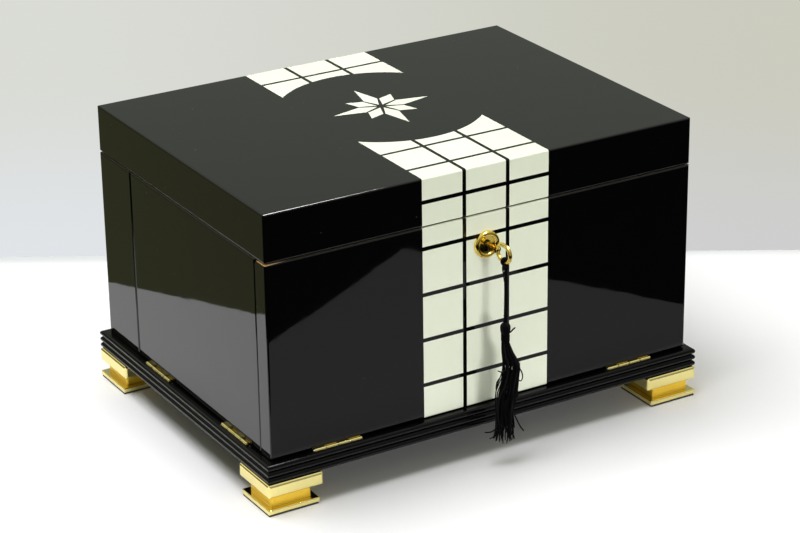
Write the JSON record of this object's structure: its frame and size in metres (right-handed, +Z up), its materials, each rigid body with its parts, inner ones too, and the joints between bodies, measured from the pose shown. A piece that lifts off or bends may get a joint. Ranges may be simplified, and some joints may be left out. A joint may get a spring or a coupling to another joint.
{
  "type": "cigar humidor",
  "caption": "Black lacquered cigar humidor with an ivory tile band, lift-up lid, drop-down front and side flaps, reeded plinth, gold spool feet and a tasselled key.",
  "frame": {"origin": "on the table, under the middle of the case in plan", "axes": "+X to the right as seen from the front, -Y out of the front, +Z up"},
  "size_m": [0.415, 0.3394, 0.2525],
  "materials": {
    "black_lacquer": "high gloss piano lacquer",
    "ivory_inlay": "polished inlay under clear lacquer",
    "polished_gold": "polished gold plate",
    "cedar": "unfinished Spanish cedar",
    "felt": "felt",
    "steel": "bright",
    "black_thread": "rayon thread",
    "dial": "matt printed",
    "needle": "matt",
    "glass": "clear",
    "black_plastic": "fine texture"
  },
  "bodies": {
    "case": {"base_board": "black_lacquer", "plinth_front": "black_lacquer", "plinth_rear": "black_lacquer", "plinth_left": "black_lacquer", "plinth_right": "black_lacquer", "foot_front_left": "polished_gold", "foot_front_right": "polished_gold", "foot_rear_left": "polished_gold", "foot_rear_right": "polished_gold", "foot_pads": "felt", "back_panel": "black_lacquer", "left_stile": "black_lacquer", "right_stile": "black_lacquer", "cedar_floor": "cedar", "cedar_posts": "cedar", "cedar_shelf": "cedar", "cedar_uprights": "cedar", "cedar_deck": "cedar", "cedar_rim_front_rear": "cedar", "cedar_rim_sides": "cedar", "cedar_dividers": "cedar", "cedar_back": "cedar", "case_magnets": "steel", "flap_hinge_base_leaves": "polished_gold", "lid_hinge_base_leaves": "polished_gold", "hinge_pins": "steel"},
    "front_flap": {"front_panel": "black_lacquer", "front_inlay": "ivory_inlay", "front_lining": "cedar", "front_hinge_leaves": "polished_gold", "front_catches": "steel", "escutcheon": "polished_gold", "lock_case": "steel", "lock_faceplate": "polished_gold"},
    "key": {"key": "polished_gold"},
    "lock_hook": {"lock_hook": "steel"},
    "tassel": {"tassel_cord": "black_thread", "tassel_head": "black_thread", "tassel_skirt": "black_thread"},
    "left_flap": {"left_panel": "black_lacquer", "left_lining": "cedar", "left_hinge_leaves": "polished_gold", "left_catches": "steel"},
    "right_flap": {"right_panel": "black_lacquer", "right_lining": "cedar", "right_hinge_leaves": "polished_gold", "right_catches": "steel"},
    "lid": {"lid_shell": "black_lacquer", "lid_inlay": "ivory_inlay", "medallion_inlay": "ivory_inlay", "lid_lining": "cedar", "lid_hinge_leaves": "polished_gold", "strike_plate": "polished_gold", "hygrometer_bezel": "polished_gold", "hygrometer_dial": "dial", "hygrometer_glass": "glass", "humidifier_case": "black_plastic", "humidifier_grille": "polished_gold"},
    "hygrometer_needle": {"hygrometer_needle": "needle"}
  },
  "joints": [
    {"name": "lid_hinge", "type": "hinge", "parent": "case", "child": "lid", "pos_m": [0, 0.1494, 0.2115], "axis": [-1, 0, 0], "range_deg": [0, 95]},
    {"name": "front_flap_hinge", "type": "hinge", "parent": "case", "child": "front_flap", "pos_m": [0, -0.1494, 0.0445], "axis": [1, 0, 0], "range_deg": [0, 90]},
    {"name": "left_flap_hinge", "type": "hinge", "parent": "case", "child": "left_flap", "pos_m": [-0.2019, -0.021, 0.0445], "axis": [0, -1, 0], "range_deg": [0, 90]},
    {"name": "right_flap_hinge", "type": "hinge", "parent": "case", "child": "right_flap", "pos_m": [0.2019, -0.021, 0.0445], "axis": [0, 1, 0], "range_deg": [0, 90]},
    {"name": "key_turn", "type": "hinge", "parent": "front_flap", "child": "key", "pos_m": [0, -0.1475, 0.1855], "axis": [0, 1, 0], "range_deg": [0, 90]},
    {"name": "hook_turn", "type": "hinge", "parent": "front_flap", "child": "lock_hook", "pos_m": [0, -0.14, 0.1855], "axis": [0, 1, 0], "range_deg": [0, 90]},
    {"name": "tassel_swing", "type": "hinge", "parent": "key", "child": "tassel", "pos_m": [0, -0.176, 0.1789], "axis": [0, 1, 0], "range_deg": [-90, 0]},
    {"name": "needle_turn", "type": "hinge", "parent": "lid", "child": "hygrometer_needle", "pos_m": [-0.095, 0, 0.2356], "axis": [0, 0, -1], "range_deg": [-120, 120]}
  ],
  "couplings": [
    {"joint": "hook_turn", "follows": "key_turn", "ratio": 1},
    {"joint": "tassel_swing", "follows": "key_turn", "ratio": -1}
  ]
}
